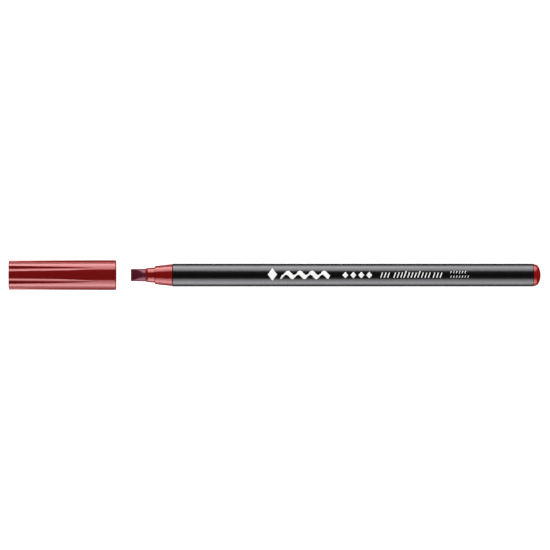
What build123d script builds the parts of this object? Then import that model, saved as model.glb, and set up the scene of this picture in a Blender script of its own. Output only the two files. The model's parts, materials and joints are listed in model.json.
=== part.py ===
from build123d import *
from math import radians, tan
import os

# A fibre-tip calligraphy marker with its cap pulled off. The cap lies in line with the pen, its
# mouth towards the nib. Millimetres: +X runs from the cap's closed end to the pen's tail, +Z is
# up, and the cap's lowest line lies on Z = 0. Every piece is turned about one axis, which is
# also the line that the cap slides along.

# Barrel: an extruded tube
barrel_length = 151.85
barrel_d = 9.6
barrel_wall = 0.9
barrel_edge_r = 0.35

# Nib: a rod of bonded fibres, ground to a square-cut wedge
nib_d = 5.35
nib_exposed = 6.2
nib_tip_d = 5.2
nib_tip_land = 1.3
nib_taper_end = 4.3
nib_edge_thickness = 1.4
nib_wedge_angle = 23.0
nib_edge_r = 0.1
nib_roll = -12.0
nib_tail_chamfer = 0.9
nib_reach = 6.0

# Front section: the collar that grips the nib, the cone behind it, and the spigot in the barrel
collar_length = 3.9
collar_lip_wall = 0.095
collar_front_wall = 0.36
collar_back_wall = 0.54
collar_chamfer_length = 1.0
cone_length = 7.3
cone_step = 0.595
cone_edge_r = 0.18
shoulder_step = 0.18
spigot_length = 12.0
spigot_lead_in = 0.35
chamber_depth = 8.0
chamber_wall = 0.8
vent_count = 3
vent_width = 0.9
vent_depth = 0.305
vent_roll = 17.0

# Snap beads of the two pieces pressed into the barrel, and the barrel's grooves for them
bead_height = 0.14
bead_width = 1.0
bead_clearance = 0.03
bead_inset = 3.5

# End plug: a domed head, whose shape follows the barrel's diameter, and a hollow shank
plug_dome_height = 2.9 / 9.6 * barrel_d
plug_head_step = 0.2
plug_head_draft = 4.0
plug_crown_r = 7.5 / 9.6 * barrel_d
plug_corner_r = 2.3 / 9.6 * barrel_d
plug_shank_length = 10.0
plug_wall = 1.0
plug_floor = 1.2

# Ink reservoir: a fibre core in a thin film
film_thickness = 0.1
film_inset = 0.5
reservoir_clearance = 0.2
reservoir_play = 0.4

# Cap: a fluted shell with grip ribs inside, and a seal cup pressed into its closed end
cap_length = 45.2
cap_gap = 6.1
cap_wall = 1.25
cap_draft = 0.11
cap_end_wall = 1.2
cap_end_edge_r = 0.3
cap_mouth_edge_r = 0.45
cap_mouth_lead_in = 0.3
cap_gate_d = 1.8
cap_gate_depth = 0.25
cap_roll = -1.2
flute_count = 7
flute_r = 2.0
flute_depth = 0.66
flute_mouth_land = 8.55
rib_count = 6
rib_height = 0.15
rib_width = 0.8
rib_clearance = 0.05
rib_mouth_inset = 4.0
rib_barrel_inset = 1.5
cup_floor = 0.8
cup_bore_clearance = 0.2
cup_lip_stand = 1.0
cup_rib_clearance = 0.02
seal_reach = 4.0
seal_clearance = 0.06
tip_room = 2.6

# How far a cutter runs past the face that it opens
overcut = 1.0

# Radii that follow from the fits
barrel_r = barrel_d / 2
bore_r = barrel_r - barrel_wall
nib_r = nib_d / 2
lip_r = nib_r + collar_lip_wall
collar_front_r = nib_r + collar_front_wall
collar_back_r = nib_r + collar_back_wall
cone_front_r = collar_back_r + cone_step
cone_back_r = barrel_r - shoulder_step
cone_slope = (cone_back_r - cone_front_r) / cone_length
rib_r = barrel_r + rib_clearance
cap_bore_r = rib_r + rib_height
cap_mouth_r = cap_bore_r + cap_wall
cap_end_r = cap_mouth_r - cap_draft
cup_r = rib_r - cup_rib_clearance
cup_bore_r = cone_front_r + cup_bore_clearance
cup_mouth_r = cone_front_r + cone_slope * seal_reach + seal_clearance
film_r = bore_r - reservoir_clearance
core_r = film_r - film_thickness
flute_run = cap_length - flute_mouth_land

# Stations along the axis, from the cap's closed end to the pen's tail
cup_depth = tip_room + nib_exposed + collar_length + seal_reach
cup_length = cup_floor + cup_depth
nose_length = nib_exposed + collar_length + cone_length
total_length = cap_length + cap_gap + nose_length + barrel_length + plug_dome_height
x_cap_end = -total_length / 2
x_cap_floor = x_cap_end + cap_end_wall
x_cup_mouth = x_cap_floor + cup_length
x_cap_mouth = x_cap_end + cap_length
x_tip = x_cap_mouth + cap_gap
x_lip = x_tip + nib_exposed
x_cone = x_lip + collar_length
x_shoulder = x_cone + cone_length
x_spigot_end = x_shoulder + spigot_length
x_nib_end = x_spigot_end + nib_reach
x_tail = x_shoulder + barrel_length
x_shank_end = x_tail - plug_shank_length
x_core_end = x_shank_end - reservoir_play
x_crown = x_tail + plug_dome_height
cap_travel = x_cone + seal_reach - x_cup_mouth
axis_height = cap_mouth_r


def turned(*corners):
    """A solid turned about the X axis. A corner is (x, radius) or (x, radius, rounding)."""
    points = [corner[:2] for corner in corners]
    roundings = [corner[2] if len(corner) == 3 else 0 for corner in corners]
    outline = FilletPolyline(*points, radius=roundings, close=True)
    return revolve(make_face(outline), Axis.X)


def rod(x_start, x_end, radius):
    """A plain cylinder about the X axis."""
    return turned((x_start, 0), (x_start, radius), (x_end, radius), (x_end, 0))


def around(shape, count, first_angle):
    """Copies of a shape, evenly spaced about the X axis. Angle 0 is up, +90 is towards -Y."""
    return [Rot(X=first_angle + 360 / count * turn) * shape for turn in range(count)]


def snap_bead(x_middle, gap):
    """The ring of a snap bead on the bore's radius, or with a gap, the cutter of its groove."""
    root_half = bead_width / 2 + gap
    crest_half = bead_width / 6 + gap
    return turned(
        (x_middle - root_half, 0),
        (x_middle - root_half, bore_r),
        (x_middle - crest_half, bore_r + bead_height + gap),
        (x_middle + crest_half, bore_r + bead_height + gap),
        (x_middle + root_half, bore_r),
        (x_middle + root_half, 0),
    )


def barrel():
    tube = turned(
        (x_shoulder, 0),
        (x_shoulder, barrel_r, barrel_edge_r),
        (x_tail, barrel_r, barrel_edge_r),
        (x_tail, 0),
    )
    tube -= rod(x_shoulder - overcut, x_tail + overcut, bore_r)
    tube -= snap_bead(x_spigot_end - bead_inset, bead_clearance)
    tube -= snap_bead(x_shank_end + bead_inset, bead_clearance)
    return tube


def nib():
    fibres = turned(
        (x_tip, 0),
        (x_tip, nib_tip_d / 2),
        (x_tip + nib_tip_land, nib_tip_d / 2),
        (x_tip + nib_taper_end, nib_r),
        (x_nib_end - nib_tail_chamfer, nib_r),
        (x_nib_end, nib_r - nib_tail_chamfer),
        (x_nib_end, 0),
    )
    # The two ground flats are the sides of a wedge that opens from the writing edge
    edge_half = nib_edge_thickness / 2
    wedge_length = nib_d / tan(radians(nib_wedge_angle))
    back_half = edge_half + nib_d
    side = Polyline(
        (x_tip, -edge_half),
        (x_tip, edge_half),
        (x_tip + wedge_length, back_half),
        (x_nib_end, back_half),
        (x_nib_end, -back_half),
        (x_tip + wedge_length, -back_half),
        close=True,
    )
    wedge = extrude(make_face(Plane.XZ * side), nib_d, both=True)
    ground = fibres & wedge
    tip_face = ground.faces().sort_by(Axis.X)[0]
    ground = fillet(tip_face.edges(), nib_edge_r)
    return Rot(X=nib_roll) * ground


def front_section():
    x_chamber = x_spigot_end - chamber_depth
    chamber_r = bore_r - chamber_wall
    shell = turned(
        (x_lip, 0),
        (x_lip, lip_r),
        (x_lip + collar_chamfer_length, collar_front_r),
        (x_cone, collar_back_r),
        (x_cone, cone_front_r, cone_edge_r),
        (x_shoulder, cone_back_r, cone_edge_r),
        (x_shoulder, bore_r),
        (x_spigot_end - spigot_lead_in, bore_r),
        (x_spigot_end, bore_r - spigot_lead_in),
        (x_spigot_end, 0),
    )
    shell += snap_bead(x_spigot_end - bead_inset, 0)
    shell -= rod(x_lip - overcut, x_spigot_end + overcut, nib_r)
    shell -= rod(x_chamber, x_spigot_end + overcut, chamber_r)
    # Air reaches the reservoir through grooves beside the nib, open at the collar's chamfer
    vent_length = x_chamber + overcut - (x_lip - overcut)
    vent_r = nib_r + vent_depth
    vent = Box(vent_length, vent_width, vent_r, align=(Align.MIN, Align.CENTER, Align.MIN))
    for groove in around(Pos(x_lip - overcut, 0, 0) * vent, vent_count, vent_roll):
        shell -= groove
    return shell


def end_plug():
    head_r = barrel_r - plug_head_step
    drafted_r = head_r - plug_dome_height * tan(radians(plug_head_draft))
    block = make_face(
        Polyline((x_tail, 0), (x_tail, head_r), (x_crown, drafted_r), (x_crown, 0), close=True)
    )
    section = block & Pos(x_crown - plug_crown_r, 0) * Circle(plug_crown_r)
    rim = section.vertices().sort_by(Axis.X)[-2]
    head = revolve(fillet(rim, plug_corner_r), Axis.X)
    shank = turned(
        (x_shank_end, 0),
        (x_shank_end, bore_r - spigot_lead_in),
        (x_shank_end + spigot_lead_in, bore_r),
        (x_tail, bore_r),
        (x_tail, 0),
    )
    shank += snap_bead(x_shank_end + bead_inset, 0)
    plug = head + shank
    return plug - rod(x_shank_end - overcut, x_tail - plug_floor, bore_r - plug_wall)


def reservoir_core():
    return rod(x_spigot_end, x_core_end, core_r) - nib()


def reservoir_film():
    wrap = rod(x_spigot_end + film_inset, x_core_end - film_inset, film_r)
    return wrap - rod(x_spigot_end, x_core_end, core_r)


def flute():
    """The cutter of one flute: a slanted round bar, which leaves the shell before its mouth."""
    bar_end_z = cap_end_r - flute_depth + flute_r
    run_out_r = cap_end_r + cap_draft * flute_run / cap_length
    rise = run_out_r + flute_r - bar_end_z
    along = Vector(flute_run, 0, rise).normalized()
    start = Vector(x_cap_end, 0, bar_end_z) - along * overcut
    bar_length = flute_run + 2 * overcut
    bar = Cylinder(flute_r, bar_length, align=(Align.CENTER, Align.CENTER, Align.MIN))
    return Plane(origin=start, x_dir=(0, 1, 0), z_dir=along) * bar


def grip_rib():
    """One rib in the shell's bore, with a slope at its mouth end for the barrel to ride up."""
    x_front = x_shoulder - cap_travel + rib_barrel_inset
    x_back = x_cap_mouth - rib_mouth_inset
    root_r = cap_bore_r + cap_wall / 3
    outline = Polyline(
        (x_front, root_r),
        (x_front, rib_r),
        (x_back - 4 * rib_height, rib_r),
        (x_back, cap_bore_r),
        (x_back, root_r),
        close=True,
    )
    return extrude(make_face(Plane.XZ * outline), rib_width / 2, both=True)


def cap_shell():
    x_seat_end = x_cup_mouth - cup_lip_stand
    shell = turned(
        (x_cap_end, 0),
        (x_cap_end, cap_end_r, cap_end_edge_r),
        (x_cap_mouth, cap_mouth_r, cap_mouth_edge_r),
        (x_cap_mouth, 0),
    )
    for cutter in around(flute(), flute_count, 180 / flute_count + cap_roll):
        shell -= cutter
    shell -= turned(
        (x_cap_floor, 0),
        (x_cap_floor, cup_r),
        (x_seat_end, cup_r),
        (x_seat_end, cap_bore_r),
        (x_cap_mouth - cap_mouth_lead_in, cap_bore_r),
        (x_cap_mouth, cap_bore_r + cap_mouth_lead_in),
        (x_cap_mouth + overcut, cap_bore_r + cap_mouth_lead_in),
        (x_cap_mouth + overcut, 0),
    )
    for rib in around(grip_rib(), rib_count, cap_roll):
        shell += rib
    return shell - rod(x_cap_end - overcut, x_cap_end + cap_gate_depth, cap_gate_d / 2)


def seal_cup():
    cup = rod(x_cap_floor, x_cup_mouth, cup_r)
    # The bore flares at the mouth to the cone's own slope, so the cup seats on the cone
    flare_length = (cup_mouth_r - cup_bore_r) / cone_slope
    return cup - turned(
        (x_cap_floor + cup_floor, 0),
        (x_cap_floor + cup_floor, cup_bore_r),
        (x_cup_mouth - flare_length, cup_bore_r),
        (x_cup_mouth, cup_mouth_r),
        (x_cup_mouth + overcut, cup_mouth_r + cone_slope * overcut),
        (x_cup_mouth + overcut, 0),
    )


nodes = {
    "cap_shell": cap_shell,
    "seal_cup": seal_cup,
    "nib": nib,
    "front_section": front_section,
    "barrel": barrel,
    "reservoir_core": reservoir_core,
    "reservoir_film": reservoir_film,
    "end_plug": end_plug,
}

os.makedirs("parts", exist_ok=True)
for name, make in nodes.items():
    export_step(Pos(0, 0, axis_height) * make(), f"parts/{name}.step")

print(f"overall length {total_length:.3f} mm, axis {axis_height:.3f} mm up")
print(f"cap travel to its seat {cap_travel:.3f} mm")
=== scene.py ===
"""Looks of a fibre-tip calligraphy marker that lies with its cap pulled off.

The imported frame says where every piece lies. Each visible piece is modelled between centres, in
millimetres about the X axis, and is then brought to metres and lifted to the marker's own axis,
so that it takes the place of the CAD node that it stands for.
"""

import json
import logging
import math
from collections.abc import Callable, Iterator, Mapping, Sequence
from contextlib import contextmanager
from dataclasses import dataclass
from enum import Enum
from itertools import pairwise

import bmesh
import bpy
from mathutils import Matrix, Vector

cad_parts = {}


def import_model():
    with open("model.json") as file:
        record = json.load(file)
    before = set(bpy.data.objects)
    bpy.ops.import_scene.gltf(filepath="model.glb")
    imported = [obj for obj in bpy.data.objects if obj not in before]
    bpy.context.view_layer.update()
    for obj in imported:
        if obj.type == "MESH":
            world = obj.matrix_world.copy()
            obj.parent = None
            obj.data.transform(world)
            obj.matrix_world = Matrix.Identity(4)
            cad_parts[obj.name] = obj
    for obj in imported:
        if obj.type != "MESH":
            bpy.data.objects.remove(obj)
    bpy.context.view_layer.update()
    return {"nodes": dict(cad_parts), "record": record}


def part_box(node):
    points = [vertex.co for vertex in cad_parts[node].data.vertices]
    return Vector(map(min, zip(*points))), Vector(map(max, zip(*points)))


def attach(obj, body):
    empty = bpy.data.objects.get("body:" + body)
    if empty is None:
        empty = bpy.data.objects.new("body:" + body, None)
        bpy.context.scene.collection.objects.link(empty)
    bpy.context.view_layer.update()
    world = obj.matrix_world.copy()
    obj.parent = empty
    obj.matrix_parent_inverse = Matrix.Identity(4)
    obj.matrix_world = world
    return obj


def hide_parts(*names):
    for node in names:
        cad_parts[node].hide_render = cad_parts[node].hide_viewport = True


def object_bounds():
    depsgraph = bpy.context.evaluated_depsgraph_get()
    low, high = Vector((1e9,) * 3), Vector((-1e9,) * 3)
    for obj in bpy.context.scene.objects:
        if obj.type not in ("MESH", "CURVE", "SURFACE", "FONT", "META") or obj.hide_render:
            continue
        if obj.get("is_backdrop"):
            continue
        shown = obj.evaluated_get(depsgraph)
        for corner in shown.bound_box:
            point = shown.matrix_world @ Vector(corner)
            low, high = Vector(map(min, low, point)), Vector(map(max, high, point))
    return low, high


LOG = logging.getLogger("marker")

MM = 0.001
SIDES = 192
ROUNDING_STEPS = 8
MERGE_GAP = 1e-4
PLACE_GAP = 2e-3
FACING = 0.999

Colour = tuple[float, float, float, float]
Triple = tuple[float, float, float]
Element = bmesh.types.BMVert | bmesh.types.BMEdge | bmesh.types.BMFace


def rgb(red: float, green: float, blue: float) -> Colour:
    """An opaque linear colour."""
    return (red, green, blue, 1.0)


# ---------------------------------------------------------------------------------------------
# What the frame says
# ---------------------------------------------------------------------------------------------


@dataclass(frozen=True)
class Reach:
    """The stretch of the marker's axis that a CAD node takes, in millimetres."""

    start: float
    end: float

    @classmethod
    def of(cls, node: str) -> "Reach":
        """Reads a node's stretch from the frame.

        Args:
            node: the CAD node's name.

        Returns:
            Its lowest and highest X.
        """
        low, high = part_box(node)
        return cls(low.x / MM, high.x / MM)


@dataclass(frozen=True)
class Layout:
    """The marker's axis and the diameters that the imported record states, in millimetres."""

    axis_height: float
    barrel_radius: float
    middle: float

    @classmethod
    def read(cls, record: Mapping) -> "Layout":
        """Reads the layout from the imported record.

        Args:
            record: the frame's record.

        Returns:
            The layout that every piece shares.
        """
        barrel = next(mount for mount in record["mounts"] if mount["name"] == "barrel")
        low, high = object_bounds()
        return cls(barrel["pos_m"][2] / MM, barrel["dims"]["r_mm"], (low.x + high.x) / 2 / MM)


# ---------------------------------------------------------------------------------------------
# The bench: meshes in millimetres, turned about the X axis
# ---------------------------------------------------------------------------------------------


class Picking(Enum):
    """What is picked by hand in edit mode."""

    VERTICES = "VERT"
    EDGES = "EDGE"
    FACES = "FACE"


class Fitting(Enum):
    """How one workpiece changes another."""

    CUT = "DIFFERENCE"
    WELD = "UNION"


@dataclass(frozen=True)
class Corner:
    """A corner of a turned outline: its station, its radius and its rounding."""

    x: float
    radius: float
    rounding: float = 0.0


def pick_up(body: bpy.types.Object) -> None:
    """Makes one object the only one that operators act on."""
    bpy.ops.object.select_all(action="DESELECT")
    body.select_set(True)
    bpy.context.view_layer.objects.active = body


def about_axis(point: Vector, turn: float) -> Vector:
    """A point turned about the X axis. 0 is up, and a quarter turn is towards -Y."""
    return Matrix.Rotation(turn, 4, "X") @ point


class Workpiece:
    """A mesh on the bench and the hand operations that shape it."""

    def __init__(self, name: str) -> None:
        """Takes the primitive that was added last as the piece's start.

        Args:
            name: the piece's name.
        """
        self.body = bpy.context.object
        self.body.name = name
        self.body.data.name = name
        bpy.ops.object.transform_apply(location=True, rotation=True, scale=True)

    @classmethod
    def turned(
        cls,
        name: str,
        corners: Sequence[Corner],
        tube: bool = False,
        longest_run: float = math.inf,
        sides: int = SIDES,
    ) -> "Workpiece":
        """Turns a piece ring by ring from a circle, each ring extruded from the one before.

        Args:
            name: the piece's name.
            corners: the outline, from one end to the other. A last radius of 0 closes on a pole.
            tube: whether the outline runs back to its first corner.
            longest_run: the most that two rings may be apart along the axis.
            sides: how many sides a ring has.

        Returns:
            The closed piece, its corners rounded.
        """
        first = corners[0]
        bpy.ops.mesh.primitive_circle_add(
            vertices=sides,
            radius=first.radius,
            location=(first.x, 0, 0),
            rotation=(0, math.pi / 2, 0),
        )
        piece = cls(name)
        outline = [*corners, first] if tube else list(corners)
        with piece.editing(Picking.VERTICES):
            bpy.ops.mesh.select_all(action="SELECT")
            for here, there in pairwise(outline):
                steps = max(1, math.ceil(abs(there.x - here.x) / longest_run))
                for step in range(steps):
                    radius_from = here.radius + (there.radius - here.radius) * step / steps
                    radius_to = here.radius + (there.radius - here.radius) * (step + 1) / steps
                    x_to = here.x + (there.x - here.x) * (step + 1) / steps
                    piece._pull_ring((there.x - here.x) / steps, x_to, radius_to / radius_from)
        piece.close()
        for corner in corners:
            if corner.rounding:
                piece.round_ring(corner)
        return piece

    def _pull_ring(self, step: float, x: float, growth: float) -> None:
        """Extrudes the picked ring along the axis and scales it there, or closes it on a pole."""
        bpy.ops.mesh.extrude_region_move(TRANSFORM_OT_translate={"value": (step, 0, 0)})
        if growth == 0:
            bpy.ops.mesh.merge(type="CENTER")
        elif growth != 1:
            bpy.ops.transform.resize(value=(1, growth, growth), center_override=(x, 0, 0))

    @contextmanager
    def editing(self, picking: Picking) -> Iterator[None]:
        """Edit mode with nothing picked, left again at the end.

        Args:
            picking: what is picked in this stretch of work.
        """
        pick_up(self.body)
        bpy.ops.object.mode_set(mode="EDIT")
        bpy.ops.mesh.select_mode(type=picking.value)
        bpy.ops.mesh.select_all(action="DESELECT")
        yield
        bpy.ops.object.mode_set(mode="OBJECT")

    def pick(self, kind: Picking, wanted: Callable[[Element], bool]) -> None:
        """Picks what passes a test, in edit mode.

        Args:
            kind: what is looked through.
            wanted: takes one of them and says whether it is picked.
        """
        mesh = bmesh.from_edit_mesh(self.body.data)
        kinds = {
            Picking.VERTICES: mesh.verts,
            Picking.EDGES: mesh.edges,
            Picking.FACES: mesh.faces,
        }
        for element in kinds[kind]:
            element.select_set(wanted(element))
        bmesh.update_edit_mesh(self.body.data)

    def close(self) -> None:
        """Merges doubles, fills what is open and turns every face outwards."""
        with self.editing(Picking.VERTICES):
            bpy.ops.mesh.select_all(action="SELECT")
            bpy.ops.mesh.remove_doubles(threshold=MERGE_GAP)
            bpy.ops.mesh.fill_holes(sides=0)
            bpy.ops.mesh.normals_make_consistent(inside=False)

    def round_ring(self, corner: Corner) -> None:
        """Rounds the ring of edges at a corner of the outline."""

        def on_ring(place: Vector) -> bool:
            """Whether a vertex is on the corner's ring."""
            radius = math.hypot(place.y, place.z)
            return abs(place.x - corner.x) < PLACE_GAP and abs(radius - corner.radius) < PLACE_GAP

        with self.editing(Picking.EDGES):
            self.pick(Picking.EDGES, lambda edge: all(on_ring(end.co) for end in edge.verts))
            bpy.ops.mesh.bevel(
                offset=corner.rounding, segments=ROUNDING_STEPS, affect="EDGES", clamp_overlap=True
            )

    def fit(self, tools: Sequence["Workpiece"], fitting: Fitting) -> None:
        """Cuts or welds other workpieces into this one and uses them up.

        Args:
            tools: the workpieces that are used up.
            fitting: what they do.
        """
        for tool in tools:
            modifier = self.body.modifiers.new(fitting.name.lower(), "BOOLEAN")
            modifier.operation = fitting.value
            modifier.solver = "EXACT"
            modifier.object = tool.body
            self.settle(modifier)
            bpy.data.objects.remove(tool.body)

    def settle(self, modifier: bpy.types.Modifier) -> None:
        """Applies a modifier to the mesh."""
        pick_up(self.body)
        bpy.ops.object.modifier_apply(modifier=modifier.name)

    def smooth(self, sharpest: float) -> None:
        """Smooths the shading over every edge that turns less than an angle.

        Args:
            sharpest: the angle in degrees past which an edge stays crisp.
        """
        pick_up(self.body)
        bpy.ops.object.shade_smooth_by_angle(angle=math.radians(sharpest))
        modifier = self.body.modifiers.new("even_normals", "WEIGHTED_NORMAL")
        modifier.keep_sharp = True
        self.settle(modifier)

    def deliver(
        self, layout: Layout, body: str, slot: str, material: bpy.types.Material, *nodes: str
    ) -> bpy.types.Object:
        """Brings the piece to metres on the marker's axis and hangs it on the frame.

        Args:
            layout: where the axis is.
            body: the CAD body that the piece moves with.
            slot: the record's material slot; not used.
            material: the piece's finish.
            nodes: the CAD nodes that it stands for.

        Returns:
            The finished object.
        """
        pick_up(self.body)
        self.body.location = (0, 0, layout.axis_height * MM)
        self.body.scale = (MM, MM, MM)
        bpy.ops.object.transform_apply(location=True, rotation=True, scale=True)
        self.body.data.materials.clear()
        self.body.data.materials.append(material)
        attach(self.body, body)
        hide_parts(*nodes)
        LOG.info("%s: %d faces, rides on %s", self.body.name, len(self.body.data.polygons), body)
        return self.body


def bar(name: str, start: Vector, end: Vector, radius: float) -> Workpiece:
    """A round bar from one point to another.

    Args:
        name: the bar's name.
        start: the middle of one end.
        end: the middle of the other end.
        radius: the bar's radius.

    Returns:
        The bar.
    """
    along = end - start
    bpy.ops.mesh.primitive_cylinder_add(
        vertices=SIDES,
        radius=radius,
        depth=along.length,
        location=(start + end) / 2,
        rotation=along.to_track_quat("Z", "Y").to_euler(),
    )
    return Workpiece(name)


def block(name: str, low: Vector, high: Vector, turn: float) -> Workpiece:
    """A block between two corners, turned about the X axis.

    Args:
        name: the block's name.
        low: its lowest corner before the turn.
        high: its highest corner before the turn.
        turn: the turn, in radians.

    Returns:
        The block.
    """
    bpy.ops.mesh.primitive_cube_add(
        size=1,
        location=about_axis((low + high) / 2, turn),
        rotation=(turn, 0, 0),
        scale=high - low,
    )
    return Workpiece(name)


def bead(x_middle: float, radius: float, height: float, width: float) -> list[Corner]:
    """The four corners of a snap bead, or of its groove, on a turned outline."""
    root = width / 2
    crest = width / 6
    return [
        Corner(x_middle - root, radius),
        Corner(x_middle - crest, radius + height),
        Corner(x_middle + crest, radius + height),
        Corner(x_middle + root, radius),
    ]


# ---------------------------------------------------------------------------------------------
# Shader maths
# ---------------------------------------------------------------------------------------------


class Signal:
    """A socket in an expression: each operator on it adds a Math node to its tree."""

    def __init__(self, tree: bpy.types.NodeTree, socket: bpy.types.NodeSocket) -> None:
        """Wraps an output socket of a tree."""
        self.tree = tree
        self.socket = socket

    def _maths(self, operation: str, first: "Signal | float", second: "Signal | float") -> "Signal":
        """Adds one Math node and returns its output."""
        node = self.tree.nodes.new("ShaderNodeMath")
        node.operation = operation
        feed(self.tree, node.inputs[0], first)
        feed(self.tree, node.inputs[1], second)
        return Signal(self.tree, node.outputs[0])

    def __add__(self, other: "Signal | float") -> "Signal":
        """This plus other."""
        return self._maths("ADD", self, other)

    def __radd__(self, other: float) -> "Signal":
        """Other plus this."""
        return self._maths("ADD", other, self)

    def __sub__(self, other: "Signal | float") -> "Signal":
        """This minus other."""
        return self._maths("SUBTRACT", self, other)

    def __rsub__(self, other: float) -> "Signal":
        """Other minus this."""
        return self._maths("SUBTRACT", other, self)

    def __mul__(self, other: "Signal | float") -> "Signal":
        """This times other."""
        return self._maths("MULTIPLY", self, other)


Value = Signal | float | Sequence[float]


def feed(tree: bpy.types.NodeTree, socket: bpy.types.NodeSocket, value: Value) -> None:
    """Links a signal to a socket, or sets the socket to a value."""
    if isinstance(value, Signal):
        tree.links.new(value.socket, socket)
    else:
        socket.default_value = value


class Graph:
    """A node tree: the shader that it feeds and one way to add any node."""

    def __init__(self, tree: bpy.types.NodeTree, shader_type: str) -> None:
        """Takes a new tree.

        Args:
            tree: the tree.
            shader_type: the type of the shader that it starts with.
        """
        self.tree = tree
        self.shader = next(n for n in tree.nodes if n.type == shader_type)

    def node(
        self,
        kind: str,
        settings: Mapping[str, object] | None = None,
        inputs: Mapping[str, Value] | None = None,
        output: str = "",
    ) -> Signal:
        """Adds any node.

        Args:
            kind: the node's type.
            settings: its properties, set first.
            inputs: values or signals of its sockets, by identifier or name.
            output: the output's identifier or name; the first one if it is left out.

        Returns:
            The node's output.
        """
        node = self.tree.nodes.new(kind)
        for key, value in (settings or {}).items():
            setattr(node, key, value)
        for key, value in (inputs or {}).items():
            feed(self.tree, self._find(node.inputs, key), value)
        found = self._find(node.outputs, output) if output else node.outputs[0]
        return Signal(self.tree, found)

    @staticmethod
    def _find(sockets: Sequence[bpy.types.NodeSocket], key: str) -> bpy.types.NodeSocket:
        """The socket with an identifier, or failing that a name."""
        same = [s for s in sockets if s.identifier == key] or [s for s in sockets if s.name == key]
        return same[0]

    def set(self, socket: str, value: Value) -> None:
        """Feeds one of the shader's sockets."""
        feed(self.tree, self.shader.inputs[socket], value)


class Recipe(Graph):
    """A material being mixed."""

    def __init__(self, name: str, **constants: Value) -> None:
        """Starts a material.

        Args:
            name: the material's name.
            constants: the shader's own settings, with underscores for spaces.
        """
        self.material = bpy.data.materials.new(name)
        self.material.use_nodes = True
        super().__init__(self.material.node_tree, "BSDF_PRINCIPLED")
        for key, value in constants.items():
            self.set(key.replace("_", " "), value)
        self.place = self.node("ShaderNodeTexCoord", output="Object")

    def stretched(self, scale: Sequence[float]) -> Signal:
        """Object coordinates multiplied by a scale along each axis."""
        return self.node("ShaderNodeMapping", None, {"Vector": self.place, "Scale": scale})

    def noise(self, vector: Signal, scale: float, detail: float = 2.0, rough: float = 0.5) -> Signal:
        """Plain noise from 0 to 1."""
        inputs = {"Vector": vector, "Scale": scale, "Detail": detail, "Roughness": rough}
        return self.node("ShaderNodeTexNoise", None, inputs)

    def ramp(self, factor: Signal, low: float, high: float) -> Signal:
        """0 below low, 1 above high, and smooth between them."""
        inputs = {"Value": factor, "From Min": low, "From Max": high}
        return self.node("ShaderNodeMapRange", {"interpolation_type": "SMOOTHSTEP"}, inputs)

    def mix(self, factor: Value, first: Value, second: Value) -> Signal:
        """One colour blended into another."""
        inputs = {"Factor_Float": factor, "A_Color": first, "B_Color": second}
        return self.node("ShaderNodeMix", {"data_type": "RGBA"}, inputs, "Result_Color")

    def bump(self, height: Signal, strength: float, distance: float) -> None:
        """Drives the shader's normal by a height, with the bump's depth in metres."""
        inputs = {"Height": height, "Strength": strength, "Distance": distance}
        self.set("Normal", self.node("ShaderNodeBump", None, inputs))


# ---------------------------------------------------------------------------------------------
# Finishes
# ---------------------------------------------------------------------------------------------


@dataclass(frozen=True)
class GlossMoulding:
    """Glossy injection-moulded plastic: faint flow marks, fine handling scratches."""

    name: str
    colour: Colour
    deep_colour: Colour
    glow: Colour
    roughness: float
    ior: float = 1.67

    def mixed(self) -> bpy.types.Material:
        """The material."""
        recipe = Recipe(self.name, IOR=self.ior, Specular_Tint=self.glow)
        flow = recipe.noise(recipe.stretched((45, 210, 210)), 1.0, 2.0)
        cloud = recipe.noise(recipe.place, 900.0, 4.0, 0.6)
        scratches = recipe.noise(recipe.stretched((500, 9000, 9000)), 1.0, 2.0, 0.4)
        scuffed = recipe.ramp(scratches, 0.66, 0.74)
        shade = recipe.ramp(flow * 0.7 + cloud * 0.3, 0.25, 0.75)
        recipe.set("Base Color", recipe.mix(shade, self.deep_colour, self.colour))
        recipe.set("Roughness", self.roughness + cloud * 0.02 + scuffed * 0.06)
        recipe.bump(flow * 0.7 + cloud * 0.04 - scuffed * 0.03, 0.1, 0.008 * MM)
        return recipe.material


@dataclass(frozen=True)
class SatinExtrusion:
    """Satin extruded tube: fine die lines along it and a soft grain between them."""

    name: str
    colour: Colour
    worn_colour: Colour
    sheen: Colour
    roughness: float
    ior: float = 1.54

    def mixed(self) -> bpy.types.Material:
        """The material."""
        recipe = Recipe(self.name, IOR=self.ior, Specular_Tint=self.sheen)
        die_lines = recipe.noise(recipe.stretched((6, 2600, 2600)), 1.0, 3.0, 0.6)
        grain = recipe.noise(recipe.place, 5200.0, 3.0, 0.6)
        handling = recipe.noise(recipe.place, 160.0, 5.0, 0.65)
        worn = recipe.ramp(handling, 0.45, 0.75)
        recipe.set("Base Color", recipe.mix(worn * 0.5, self.colour, self.worn_colour))
        recipe.set("Roughness", self.roughness - 0.03 + grain * 0.05 + die_lines * 0.03 - worn * 0.03)
        recipe.bump(die_lines * 0.5 + grain * 0.5, 0.18, 0.012 * MM)
        return recipe.material


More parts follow.
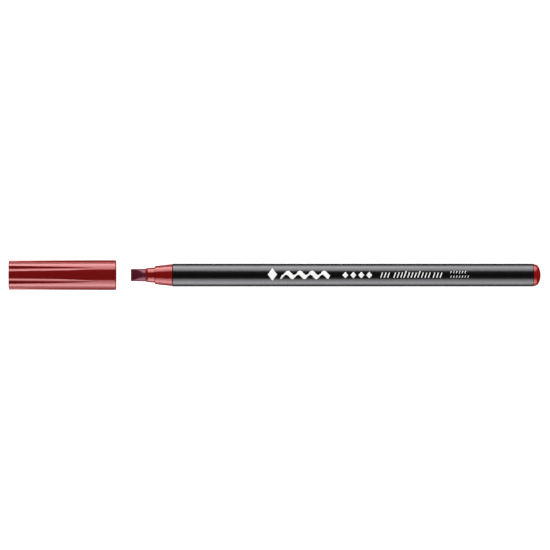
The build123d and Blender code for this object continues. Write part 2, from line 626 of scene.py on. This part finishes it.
@dataclass(frozen=True)
class InkedFibre:
    """Bonded fibres that run along the nib, soaked with ink, their ends showing at the cut."""

    name: str
    ink: Colour
    dry: Colour
    glow: Colour
    fibre_count: float
    roughness: float
    bump_depth: float
    ior: float = 1.62

    def mixed(self) -> bpy.types.Material:
        """The material."""
        recipe = Recipe(self.name, IOR=self.ior, Specular_Tint=self.glow)
        along = self.fibre_count / 26
        strands = recipe.noise(
            recipe.stretched((along, self.fibre_count, self.fibre_count)), 1.0, 3.0, 0.65
        )
        bundles = recipe.noise(
            recipe.stretched((along / 3, self.fibre_count / 4, self.fibre_count / 4)), 1.0, 2.0
        )
        soak = recipe.ramp(strands * 0.55 + bundles * 0.45, 0.32, 0.7)
        recipe.set("Base Color", recipe.mix(soak, self.ink, self.dry))
        recipe.set("Roughness", self.roughness + strands * 0.2)
        recipe.bump(strands * 0.8 + bundles * 0.2, 0.55, self.bump_depth)
        return recipe.material


@dataclass(frozen=True)
class PrintInk:
    """Printed ink on plastic: thin, slightly uneven, with pinholes."""

    name: str
    colour: Colour
    thin_colour: Colour

    def mixed(self) -> bpy.types.Material:
        """The material."""
        recipe = Recipe(self.name, IOR=1.45)
        cover = recipe.noise(recipe.place, 2400.0, 4.0, 0.6)
        pinholes = recipe.ramp(recipe.noise(recipe.place, 9000.0, 1.0), 0.68, 0.74)
        thin = recipe.ramp(cover, 0.5, 0.8) * 0.5 + pinholes * 0.5
        recipe.set("Base Color", recipe.mix(thin, self.colour, self.thin_colour))
        recipe.set("Roughness", 0.48 + cover * 0.15)
        recipe.bump(cover - pinholes, 0.2, 0.006 * MM)
        return recipe.material


@dataclass(frozen=True)
class NaturalPlastic:
    """Uncoloured soft plastic, milky in its depth."""

    name: str
    colour: Colour
    cloudy_colour: Colour
    alpha: float = 1.0

    def mixed(self) -> bpy.types.Material:
        """The material."""
        recipe = Recipe(
            self.name, IOR=1.5, Alpha=self.alpha, Subsurface_Weight=0.25, Subsurface_Scale=0.8 * MM
        )
        cloud = recipe.noise(recipe.place, 420.0, 4.0, 0.6)
        mark = recipe.noise(recipe.stretched((300, 3000, 3000)), 1.0, 2.0)
        recipe.set("Base Color", recipe.mix(cloud, self.colour, self.cloudy_colour))
        recipe.set("Roughness", 0.32 + cloud * 0.12)
        recipe.bump(mark, 0.15, 0.01 * MM)
        return recipe.material


# ---------------------------------------------------------------------------------------------
# The marker's pieces
# ---------------------------------------------------------------------------------------------


@dataclass(frozen=True)
class Nib:
    """The nib: a rod of fibres with two ground flats that meet the writing edge."""

    rod_radius: float = 2.675
    tip_radius: float = 2.6
    tip_land: float = 1.3
    taper_end: float = 4.3
    edge_thickness: float = 1.4
    wedge_angle: float = 23.0
    roll: float = -12.0
    tail_chamfer: float = 0.9
    worn_rim: float = 0.32
    crisp_edge: float = 0.2

    def build(self) -> Workpiece:
        """The nib, turned, and then ground on both sides."""
        reach = Reach.of("nib")
        nib = Workpiece.turned(
            "nib_wedge",
            [
                Corner(reach.start, self.tip_radius),
                Corner(reach.start + self.tip_land, self.tip_radius),
                Corner(reach.start + self.taper_end, self.rod_radius),
                Corner(reach.end - self.tail_chamfer, self.rod_radius),
                Corner(reach.end, self.rod_radius - self.tail_chamfer),
            ],
            longest_run=0.5,
            sides=144,
        )
        for side in (1, -1):
            self._grind(nib, reach.start, side)
        nib.smooth(60.0)
        return nib

    def _grind(self, nib: Workpiece, tip: float, side: int) -> None:
        """Grinds one flat, and wears its rim everywhere but at the writing edge.

        Args:
            nib: the turned nib.
            tip: where the nib starts.
            side: 1 for the upper flat, -1 for the lower one.
        """
        slope = math.radians(self.wedge_angle)
        turn = math.radians(self.roll)
        on_edge = about_axis(Vector((tip, 0, side * self.edge_thickness / 2)), turn)
        outwards = about_axis(Vector((-math.sin(slope), 0, side * math.cos(slope))), turn)

        def on_plane(place: Vector) -> bool:
            """Whether a place is on the ground plane."""
            return abs((place - on_edge).dot(outwards)) < PLACE_GAP

        def on_flat(face: bmesh.types.BMFace) -> bool:
            """Whether a face is part of the flat."""
            return face.normal.dot(outwards) > FACING and on_plane(face.calc_center_median())

        def on_worn_rim(vertex: bmesh.types.BMVert) -> bool:
            """Whether a vertex is on the flat's rim and away from the writing edge."""
            sides = {face.normal.dot(outwards) > FACING for face in vertex.link_faces}
            past_edge = vertex.co.x > tip + self.crisp_edge
            return on_plane(vertex.co) and sides == {True, False} and past_edge

        with nib.editing(Picking.VERTICES):
            bpy.ops.mesh.select_all(action="SELECT")
            bpy.ops.mesh.bisect(
                plane_co=on_edge, plane_no=outwards, use_fill=True, clear_outer=True
            )
        with nib.editing(Picking.FACES):
            nib.pick(Picking.FACES, on_flat)
            bpy.ops.mesh.inset(thickness=self.worn_rim)
        with nib.editing(Picking.VERTICES):
            nib.pick(Picking.VERTICES, on_worn_rim)
            bpy.ops.mesh.vertices_smooth(factor=0.5, repeat=3)


@dataclass(frozen=True)
class FrontSection:
    """The red nose: collar round the nib, cone, and the spigot in the barrel."""

    nib_radius: float = 2.675
    collar_length: float = 3.9
    lip_radius: float = 2.77
    lip_chamfer: float = 1.0
    collar_front_radius: float = 3.035
    collar_back_radius: float = 3.215
    cone_length: float = 7.3
    cone_front_radius: float = 3.81
    cone_back_radius: float = 4.62
    edge_rounding: float = 0.16
    spigot_radius: float = 3.9
    spigot_lead_in: float = 0.35
    chamber_depth: float = 8.0
    chamber_radius: float = 3.1
    bead_inset: float = 3.5
    bead_size: tuple[float, float] = (0.14, 1.0)
    vent_count: int = 3
    vent_width: float = 0.9
    vent_radius: float = 2.98
    vent_roll: float = 17.0

    def build(self) -> Workpiece:
        """The section, turned as a tube, with the air grooves cut beside the nib."""
        reach = Reach.of("front_section")
        lip = reach.start
        cone = lip + self.collar_length
        shoulder = cone + self.cone_length
        chamber = reach.end - self.chamber_depth
        section = Workpiece.turned(
            "nose_section",
            [
                Corner(lip, self.nib_radius),
                Corner(lip, self.lip_radius, 0.03),
                Corner(lip + self.lip_chamfer, self.collar_front_radius, 0.12),
                Corner(cone, self.collar_back_radius, 0.12),
                Corner(cone, self.cone_front_radius, self.edge_rounding),
                Corner(shoulder, self.cone_back_radius, self.edge_rounding),
                Corner(shoulder, self.spigot_radius),
                *bead(reach.end - self.bead_inset, self.spigot_radius, *self.bead_size),
                Corner(reach.end - self.spigot_lead_in, self.spigot_radius),
                Corner(reach.end, self.spigot_radius - self.spigot_lead_in),
                Corner(reach.end, self.chamber_radius),
                Corner(chamber, self.chamber_radius),
                Corner(chamber, self.nib_radius),
            ],
            tube=True,
            longest_run=1.0,
        )
        low = Vector((lip - 1, -self.vent_width / 2, 0))
        high = Vector((chamber + 1, self.vent_width / 2, self.vent_radius))
        vents = [
            block("vent", low, high, math.radians(self.vent_roll + 360 / self.vent_count * turn))
            for turn in range(self.vent_count)
        ]
        section.fit(vents, Fitting.CUT)
        section.smooth(28.0)
        return section


@dataclass(frozen=True)
class Barrel:
    """The black tube, its two edges rounded, with a groove inside for each snap bead."""

    bore_radius: float = 3.9
    edge_rounding: float = 0.35
    section_bead: float = 8.5
    plug_bead: float = 6.5
    groove_size: tuple[float, float] = (0.17, 1.06)

    def build(self, radius: float) -> Workpiece:
        """The tube.

        Args:
            radius: the barrel's outer radius.

        Returns:
            The tube, whose bore runs back from the tail to the front.
        """
        reach = Reach.of("barrel")
        front_groove = bead(reach.start + self.section_bead, self.bore_radius, *self.groove_size)
        rear_groove = bead(reach.end - self.plug_bead, self.bore_radius, *self.groove_size)
        tube = Workpiece.turned(
            "barrel_tube",
            [
                Corner(reach.start, self.bore_radius),
                Corner(reach.start, radius, self.edge_rounding),
                Corner(reach.end, radius, self.edge_rounding),
                Corner(reach.end, self.bore_radius),
                *reversed(rear_groove),
                *reversed(front_groove),
            ],
            tube=True,
            longest_run=8.0,
        )
        tube.smooth(28.0)
        return tube


@dataclass(frozen=True)
class EndPlug:
    """The red plug in the tail: a hollow shank and a head with a low crown."""

    head_radius: float = 4.6
    dome_height: float = 2.9
    draft: float = 4.0
    crown_radius: float = 7.5
    corner_radius: float = 2.3
    shank_radius: float = 3.9
    shank_bore: float = 2.9
    floor: float = 1.2
    lead_in: float = 0.35
    bead_inset: float = 3.5
    bead_size: tuple[float, float] = (0.14, 1.0)
    arc_tries: int = 40
    arc_steps: int = 2 * ROUNDING_STEPS

    def build(self) -> Workpiece:
        """The plug, turned from the floor of its bore, round the shank, to the crown."""
        reach = Reach.of("end_plug")
        head = reach.end - self.dome_height
        plug = Workpiece.turned(
            "tail_plug",
            [
                Corner(head - self.floor, self.shank_bore),
                Corner(reach.start, self.shank_bore),
                Corner(reach.start, self.shank_radius - self.lead_in),
                Corner(reach.start + self.lead_in, self.shank_radius),
                *bead(reach.start + self.bead_inset, self.shank_radius, *self.bead_size),
                Corner(head, self.shank_radius),
                Corner(head, self.head_radius, 0.08),
                *self._dome(head, reach.end),
                Corner(reach.end, 0),
            ],
        )
        plug.smooth(28.0)
        return plug

    def _dome(self, head: float, crown: float) -> list[Corner]:
        """The head's side, the rounded rim and the crown, as corners along two arcs.

        Args:
            head: where the head starts.
            crown: where it ends on the axis.

        Returns:
            The corners from the side's end to just short of the axis.
        """
        side = math.radians(self.draft)
        crown_middle = crown - self.crown_radius
        # The rim's arc touches the drafted side and the crown from inside, so its middle lies on a
        # line beside the one and on a circle inside the other
        offset = self.head_radius - self.corner_radius / math.cos(side)
        reach = self.crown_radius - self.corner_radius
        rim_x = head
        for _ in range(self.arc_tries):
            rim_r = offset - (rim_x - head) * math.tan(side)
            rim_x = crown_middle + math.sqrt(reach**2 - rim_r**2)
        rim_r = offset - (rim_x - head) * math.tan(side)
        rim_end = math.atan2(rim_r, rim_x - crown_middle)
        rim = self._arc((rim_x, rim_r), self.corner_radius, math.pi / 2 - side, rim_end)
        return rim + self._arc((crown_middle, 0), self.crown_radius, rim_end, 0)[1:-1]

    def _arc(
        self, middle: tuple[float, float], radius: float, start: float, end: float
    ) -> list[Corner]:
        """The corners along an arc of the outline, from one angle off the axis to another."""
        angles = [start + (end - start) * k / self.arc_steps for k in range(self.arc_steps + 1)]
        x, height = middle
        return [Corner(x + radius * math.cos(a), height + radius * math.sin(a)) for a in angles]


@dataclass(frozen=True)
class CapShell:
    """The cap's shell: a slim cone with seven flutes that run out before its mouth."""

    draft: float = 0.11
    bore_radius: float = 5.0
    seat_radius: float = 4.83
    seat_end: float = 17.7
    end_wall: float = 1.2
    end_rounding: float = 0.3
    mouth_rounding: float = 0.45
    mouth_lead_in: float = 0.3
    gate_radius: float = 0.9
    gate_depth: float = 0.25
    roll: float = -1.2
    flute_count: int = 7
    flute_radius: float = 2.0
    flute_depth: float = 0.66
    flute_run: float = 36.65
    rib_count: int = 6
    rib_radius: float = 4.85
    rib_width: float = 0.8
    rib_start: float = 23.25
    rib_end: float = 41.2
    rib_sink: float = 0.4

    def build(self, mouth_radius: float) -> Workpiece:
        """The shell.

        Args:
            mouth_radius: the outer radius at the mouth.

        Returns:
            The shell, with its flutes cut and its grip ribs welded in.
        """
        reach = Reach.of("cap_shell")
        end_radius = mouth_radius - self.draft
        shell = Workpiece.turned(
            "cap_fluted_shell",
            [
                Corner(reach.start + self.gate_depth, self.gate_radius),
                Corner(reach.start, self.gate_radius),
                Corner(reach.start, end_radius, self.end_rounding),
                Corner(reach.end, mouth_radius, self.mouth_rounding),
                Corner(reach.end, self.bore_radius + self.mouth_lead_in),
                Corner(reach.end - self.mouth_lead_in, self.bore_radius),
                Corner(reach.start + self.seat_end, self.bore_radius),
                Corner(reach.start + self.seat_end, self.seat_radius),
                Corner(reach.start + self.end_wall, self.seat_radius),
            ],
            longest_run=1.2,
        )
        flutes = [
            self._flute(reach, end_radius, mouth_radius, turn)
            for turn in self._turns(self.flute_count, 0.5)
        ]
        shell.fit(flutes, Fitting.CUT)
        ribs = [self._rib(reach.start, turn) for turn in self._turns(self.rib_count, 0)]
        shell.fit(ribs, Fitting.WELD)
        shell.smooth(14.0)
        return shell

    def _turns(self, count: int, first: float) -> list[float]:
        """Even turns about the axis, in radians, the first one that share of a step past the roll."""
        return [math.radians(self.roll + 360 / count * (k + first)) for k in range(count)]

    def _flute(
        self, reach: Reach, end_radius: float, mouth_radius: float, turn: float
    ) -> Workpiece:
        """The cutter of one flute: a slanted bar that leaves the shell where the flute runs out."""
        length = reach.end - reach.start
        run_out_radius = end_radius + (mouth_radius - end_radius) * self.flute_run / length
        start = Vector((reach.start, 0, end_radius - self.flute_depth + self.flute_radius))
        finish = Vector((reach.start + self.flute_run, 0, run_out_radius + self.flute_radius))
        past = (finish - start) / self.flute_run
        return bar(
            "flute", about_axis(start - past, turn), about_axis(finish + past, turn), self.flute_radius
        )

    def _rib(self, end: float, turn: float) -> Workpiece:
        """One grip rib, sunk into the wall outside it."""
        low = Vector((end + self.rib_start, -self.rib_width / 2, self.rib_radius))
        high = Vector((end + self.rib_end, self.rib_width / 2, self.bore_radius + self.rib_sink))
        return block("rib", low, high, turn)


@dataclass(frozen=True)
class Stroke:
    """One straight pull of a pen: its middle, its length, its breadth and its slant in degrees."""

    x: float
    y: float
    length: float
    breadth: float
    slant: float


@dataclass(frozen=True)
class BarrelPrint:
    """The print on the barrel: plain pen ornaments, wrapped on as thin films of ink.

    Places are in millimetres along the barrel from its front edge and up from its middle line.
    """

    film: float = 0.016
    sunk: float = 0.004
    former_reach: float = 200.0
    lozenge_cells: int = 16
    lozenge: tuple[float, float, float, float] = (42.05, 0.26, 3.9, 5.1)
    wave_start: float = 45.7
    wave_middle: float = 0.12
    wave_length: float = 5.05
    wave_count: int = 4
    wave_rise: float = 0.9
    wave_nib: float = 1.9
    wave_slant: float = 24.0
    wave_steps: int = 24
    wave_start_breadth: float = 0.06
    dots_start: float = 72.65
    dots_pitch: float = 3.35
    dots_count: int = 4
    dots_size: tuple[float, float] = (2.5, 2.7)
    pull_groups: tuple[tuple[float, int], ...] = ((87.9, 3), (93.4, 11), (109.9, 3))
    pull_pitch: float = 1.45
    pull_length: float = 2.3
    pull_rise: float = 0.3
    pull_breadth: float = 0.42
    pull_slant: float = 20.0
    dash_start: float = 117.0
    dash_pitch: float = 1.2
    dash_size: tuple[float, float] = (0.95, 0.26)
    dash_rows: tuple[tuple[float, int], ...] = ((1.25, 6), (-0.65, 7))

    def build(self, radius: float) -> list[Workpiece]:
        """The printed marks, from the front of the barrel to its tail.

        Args:
            radius: the barrel's outer radius.

        Returns:
            One workpiece for each group of marks.
        """
        front = Reach.of("barrel").start
        x, y, width, height = self.lozenge
        dots = [(front + self.dots_start + self.dots_pitch * k, 0.02) for k in range(self.dots_count)]
        marks = [
            self._lozenges("print_lozenge", [(front + x, y)], width, height),
            self._wave("print_wave", front + self.wave_start),
            self._lozenges("print_size_dots", dots, *self.dots_size),
            self._strokes("print_pulls", self._practice_row(front)),
            self._strokes("print_dashes", self._dash_rows(front)),
        ]
        for mark in marks:
            self._wrap(mark, radius)
        return marks

    def _practice_row(self, front: float) -> list[Stroke]:
        """Slanted pulls in three groups, each fourth one taller, as in a writing exercise."""
        strokes = []
        for start, count in self.pull_groups:
            for k in range(count):
                rise = self.pull_rise if k % 4 == 3 else 0.0
                x = front + start + self.pull_pitch * k
                length = self.pull_length + 2 * abs(rise)
                strokes.append(Stroke(x, rise, length, self.pull_breadth, self.pull_slant))
        return strokes

    def _dash_rows(self, front: float) -> list[Stroke]:
        """Two rows of short dashes, the lower one longer."""
        return [
            Stroke(front + self.dash_start + self.dash_pitch * k, y, *self.dash_size, self.pull_slant)
            for y, count in self.dash_rows
            for k in range(count)
        ]

    def _lozenges(
        self, name: str, places: Sequence[tuple[float, float]], width: float, height: float
    ) -> Workpiece:
        """Lozenges such as a square-cut nib makes, side by side."""
        made = []
        for x, y in places:
            bpy.ops.mesh.primitive_grid_add(
                x_subdivisions=self.lozenge_cells,
                y_subdivisions=self.lozenge_cells,
                size=math.sqrt(0.5),
                rotation=(0, 0, math.pi / 4),
            )
            piece = Workpiece(name)
            with piece.editing(Picking.VERTICES):
                bpy.ops.mesh.select_all(action="SELECT")
                bpy.ops.transform.resize(value=(width, height, 1), center_override=(0, 0, 0))
                bpy.ops.transform.translate(value=(x, y, 0))
            made.append(piece)
        return self._joined(made)

    def _strokes(self, name: str, strokes: Sequence[Stroke]) -> Workpiece:
        """Straight pulls of the pen, each a slim slanted strip."""
        made = []
        for stroke in strokes:
            bpy.ops.mesh.primitive_grid_add(
                x_subdivisions=2,
                y_subdivisions=10,
                size=1,
                location=(stroke.x, stroke.y, 0),
                rotation=(0, 0, -math.radians(stroke.slant)),
            )
            bpy.context.object.scale = (stroke.breadth, stroke.length, 1)
            made.append(Workpiece(name))
        return self._joined(made)

    def _joined(self, pieces: Sequence[Workpiece]) -> Workpiece:
        """Joins pieces into the first of them."""
        bpy.ops.object.select_all(action="DESELECT")
        for piece in pieces:
            piece.body.select_set(True)
        bpy.context.view_layer.objects.active = pieces[0].body
        bpy.ops.object.join()
        return pieces[0]

    def _wave(self, name: str, x: float) -> Workpiece:
        """A running wave, drawn by pulling a slanted edge along it as a pen pulls its nib."""
        start = Vector((x, self.wave_middle - self.wave_rise, 0))
        slant = math.radians(self.wave_slant)
        ahead = Vector((math.cos(slant), -math.sin(slant), 0))
        bpy.ops.mesh.primitive_grid_add(
            x_subdivisions=1,
            y_subdivisions=8,
            size=1,
            location=start,
            rotation=(0, 0, -slant),
        )
        bpy.context.object.scale = (self.wave_start_breadth, self.wave_nib, 1)
        piece = Workpiece(name)
        with piece.editing(Picking.EDGES):
            piece.pick(
                Picking.EDGES,
                lambda edge: all((end.co - start).dot(ahead) > 0 for end in edge.verts),
            )
            for step in range(self.wave_count * self.wave_steps):
                before = self.wave_rise * math.cos(2 * math.pi * step / self.wave_steps)
                after = self.wave_rise * math.cos(2 * math.pi * (step + 1) / self.wave_steps)
                pull = (self.wave_length / self.wave_steps, before - after, 0)
                bpy.ops.mesh.extrude_region_move(TRANSFORM_OT_translate={"value": pull})
        return piece

    def _wrap(self, mark: Workpiece, radius: float) -> None:
        """Presses a flat mark onto the barrel and gives the ink its thickness."""
        end = Vector((self.former_reach, 0, 0))
        former = bar("former", -end, end, radius)
        mark.body.location.z = radius + 1
        pick_up(mark.body)
        bpy.ops.object.transform_apply(location=True, rotation=True, scale=True)
        wrap = mark.body.modifiers.new("wrap", "SHRINKWRAP")
        wrap.wrap_method = "PROJECT"
        wrap.use_project_z = True
        wrap.use_negative_direction = True
        wrap.use_positive_direction = False
        wrap.target = former.body
        wrap.offset = -self.sunk
        mark.settle(wrap)
        thicken = mark.body.modifiers.new("film", "SOLIDIFY")
        thicken.thickness = self.film
        thicken.offset = 1
        mark.settle(thicken)
        bpy.data.objects.remove(former.body)
        mark.close()
        mark.smooth(30.0)


# ---------------------------------------------------------------------------------------------
# The studio
# ---------------------------------------------------------------------------------------------


@dataclass(frozen=True)
class Softbox:
    """One panel of a softbox beside the marker, in metres, at an angle from straight up."""

    side: int
    near_edge: float
    far_edge: float
    radiance: float
    start: float
    end: float
    distance: float = 1.8

    def hang(self, height: float) -> None:
        """Hangs the panel so that it fills its angles as seen from the marker's axis.

        Args:
            height: the height of the axis over the floor.
        """
        middle = math.radians((self.near_edge + self.far_edge) / 2)
        spread = math.radians((self.far_edge - self.near_edge) / 2)
        out = Vector((0, self.side * math.sin(middle), math.cos(middle)))
        along = Vector((1, 0, 0))
        place = out * self.distance + Vector(((self.start + self.end) / 2, 0, height))
        bpy.ops.object.light_add(type="AREA", location=place)
        panel = bpy.context.object
        panel.name = "softbox"
        panel.rotation_mode = "QUATERNION"
        panel.rotation_quaternion = Matrix((along, out.cross(along), out)).transposed().to_quaternion()
        panel.data.shape = "RECTANGLE"
        panel.data.size = self.end - self.start
        panel.data.size_y = 2 * self.distance * math.tan(spread)
        panel.data.energy = self.radiance * math.pi * panel.data.size * panel.data.size_y
        panel.visible_camera = False


@dataclass(frozen=True)
class Studio:
    """A pale floor, softboxes on both long sides and a long lens from above."""

    view_width: float = 0.231
    view_shift: tuple[float, float] = (0.00012, 0.00004)
    lens: float = 800.0
    sensor: float = 36.0
    floor_size: float = 12.0
    floor_glow: float = 0.75
    fill: float = 0.12
    mirrored: float = 0.02
    clip_end: float = 10.0
    back_panels: tuple[Triple, ...] = ((44.5, 58, 5.4), (58, 74, 6.7), (74, 100, 8.7), (100, 123, 1.4))
    front_panels: tuple[Triple, ...] = ((41, 57, 4.0), (57, 72, 5.6), (72, 99, 7.3), (99, 126, 1.4))
    spans: tuple[Triple, ...] = ((-0.65, 0.04, 1.0), (0.04, 0.5, 0.8), (0.5, 1.7, 0.6))

    def set_up(self, layout: Layout) -> None:
        """Builds the studio round the marker."""
        aim = Vector((layout.middle * MM, 0, layout.axis_height * MM))
        self._lay_floor()
        self._light_world()
        for side, panels in ((1, self.back_panels), (-1, self.front_panels)):
            for near, far, radiance in panels:
                for start, end, share in self.spans:
                    Softbox(side, near, far, radiance * share, start, end).hang(aim.z)
        self._place_camera(aim)
        bpy.context.scene.view_settings.view_transform = "Standard"

    def _lay_floor(self) -> None:
        """Lays the pale floor, which mirrors and shadow rays pass through."""
        bpy.ops.mesh.primitive_plane_add(size=self.floor_size)
        floor = bpy.context.object
        floor.name = "floor"
        recipe = Recipe("pale_floor", Roughness=0.9, Specular_IOR_Level=0.0)
        mottle = recipe.noise(recipe.place, 3.0, 2.0)
        recipe.set("Base Color", recipe.mix(mottle, rgb(0.80, 0.80, 0.80), rgb(0.82, 0.82, 0.82)))
        recipe.set("Emission Color", rgb(1, 1, 1))
        recipe.set("Emission Strength", self.floor_glow)
        floor.data.materials.append(recipe.material)
        floor.visible_glossy = False
        floor.visible_diffuse = False
        floor.visible_shadow = False
        floor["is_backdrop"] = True

    def _light_world(self) -> None:
        """A white surround to look at, with little light of its own."""
        world = bpy.data.worlds.new("surround")
        bpy.context.scene.world = world
        world.use_nodes = True
        surround = Graph(world.node_tree, "BACKGROUND")
        camera = surround.node("ShaderNodeLightPath", output="Is Camera Ray")
        mirror = surround.node("ShaderNodeLightPath", output="Is Glossy Ray")
        lit = self.fill - mirror * (self.fill - self.mirrored)
        surround.set("Strength", camera + (1 - camera) * lit)
        surround.set("Color", rgb(1, 1, 1))

    def _place_camera(self, aim: Vector) -> None:
        """Places the camera straight above the marker."""
        distance = self.view_width / self.sensor * self.lens
        bpy.ops.object.camera_add(location=aim + Vector((*self.view_shift, distance)))
        camera = bpy.context.object
        camera.data.lens = self.lens
        camera.data.sensor_width = self.sensor
        camera.data.clip_end = self.clip_end
        bpy.context.scene.camera = camera


# ---------------------------------------------------------------------------------------------
# Putting it together
# ---------------------------------------------------------------------------------------------


def main() -> None:
    """Builds every piece in order and hangs it on the frame."""
    logging.basicConfig(level=logging.INFO, format="%(message)s")
    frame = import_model()
    layout = Layout.read(frame["record"])

    glow = rgb(1, 0.48, 0.48)
    cap_red = GlossMoulding(
        "cap_red", rgb(0.172, 0.0055, 0.006), rgb(0.155, 0.0045, 0.005), glow, 0.07
    )
    section_red = GlossMoulding(
        "section_red", rgb(0.20, 0.006, 0.0055), rgb(0.18, 0.005, 0.0045), glow, 0.1
    )
    plug_red = GlossMoulding("plug_red", rgb(0.25, 0.006, 0.006), rgb(0.23, 0.005, 0.005), glow, 0.1)
    barrel_black = SatinExtrusion(
        "barrel_black", rgb(0.0025, 0.0025, 0.0027), rgb(0.004, 0.004, 0.004), rgb(0.95, 0.94, 1), 0.25
    )
    nib_glow = rgb(1, 0.42, 0.6)
    wet, dry = rgb(0.045, 0.0015, 0.007), rgb(0.10, 0.008, 0.019)
    nib_ink = InkedFibre("nib_ink", wet, dry, nib_glow, 9000.0, 0.33, 0.012 * MM)
    wet, dry = rgb(0.12, 0.006, 0.012), rgb(0.3, 0.04, 0.05)
    wadding = InkedFibre("wadding", wet, dry, nib_glow, 4000.0, 0.7, 0.12 * MM)
    print_ink = PrintInk("print_white", rgb(0.93, 0.93, 0.91), rgb(0.62, 0.62, 0.62))
    seal = NaturalPlastic("seal_natural", rgb(0.70, 0.68, 0.63), rgb(0.78, 0.77, 0.73))
    film = NaturalPlastic("wrap_film", rgb(0.80, 0.80, 0.80), rgb(0.7, 0.7, 0.7), 0.45)

    for piece, body, slot, finish, node in (
        (CapShell().build(layout.axis_height), "cap", "cap_plastic", cap_red, "cap_shell"),
        (Nib().build(), "pen", "nib_fibre", nib_ink, "nib"),
        (FrontSection().build(), "pen", "section_plastic", section_red, "front_section"),
        (Barrel().build(layout.barrel_radius), "pen", "barrel_plastic", barrel_black, "barrel"),
        (EndPlug().build(), "pen", "plug_plastic", plug_red, "end_plug"),
    ):
        piece.deliver(layout, body, slot, finish.mixed(), node)
    ink = print_ink.mixed()
    for mark in BarrelPrint().build(layout.barrel_radius):
        mark.deliver(layout, "pen", "print_ink", ink)
    for node, finish in (("seal_cup", seal), ("reservoir_core", wadding), ("reservoir_film", film)):
        frame["nodes"][node].data.materials[0] = finish.mixed()
        LOG.info("%s: CAD node, dressed", node)

    Studio().set_up(layout)


if __name__ == "__main__":
    main()
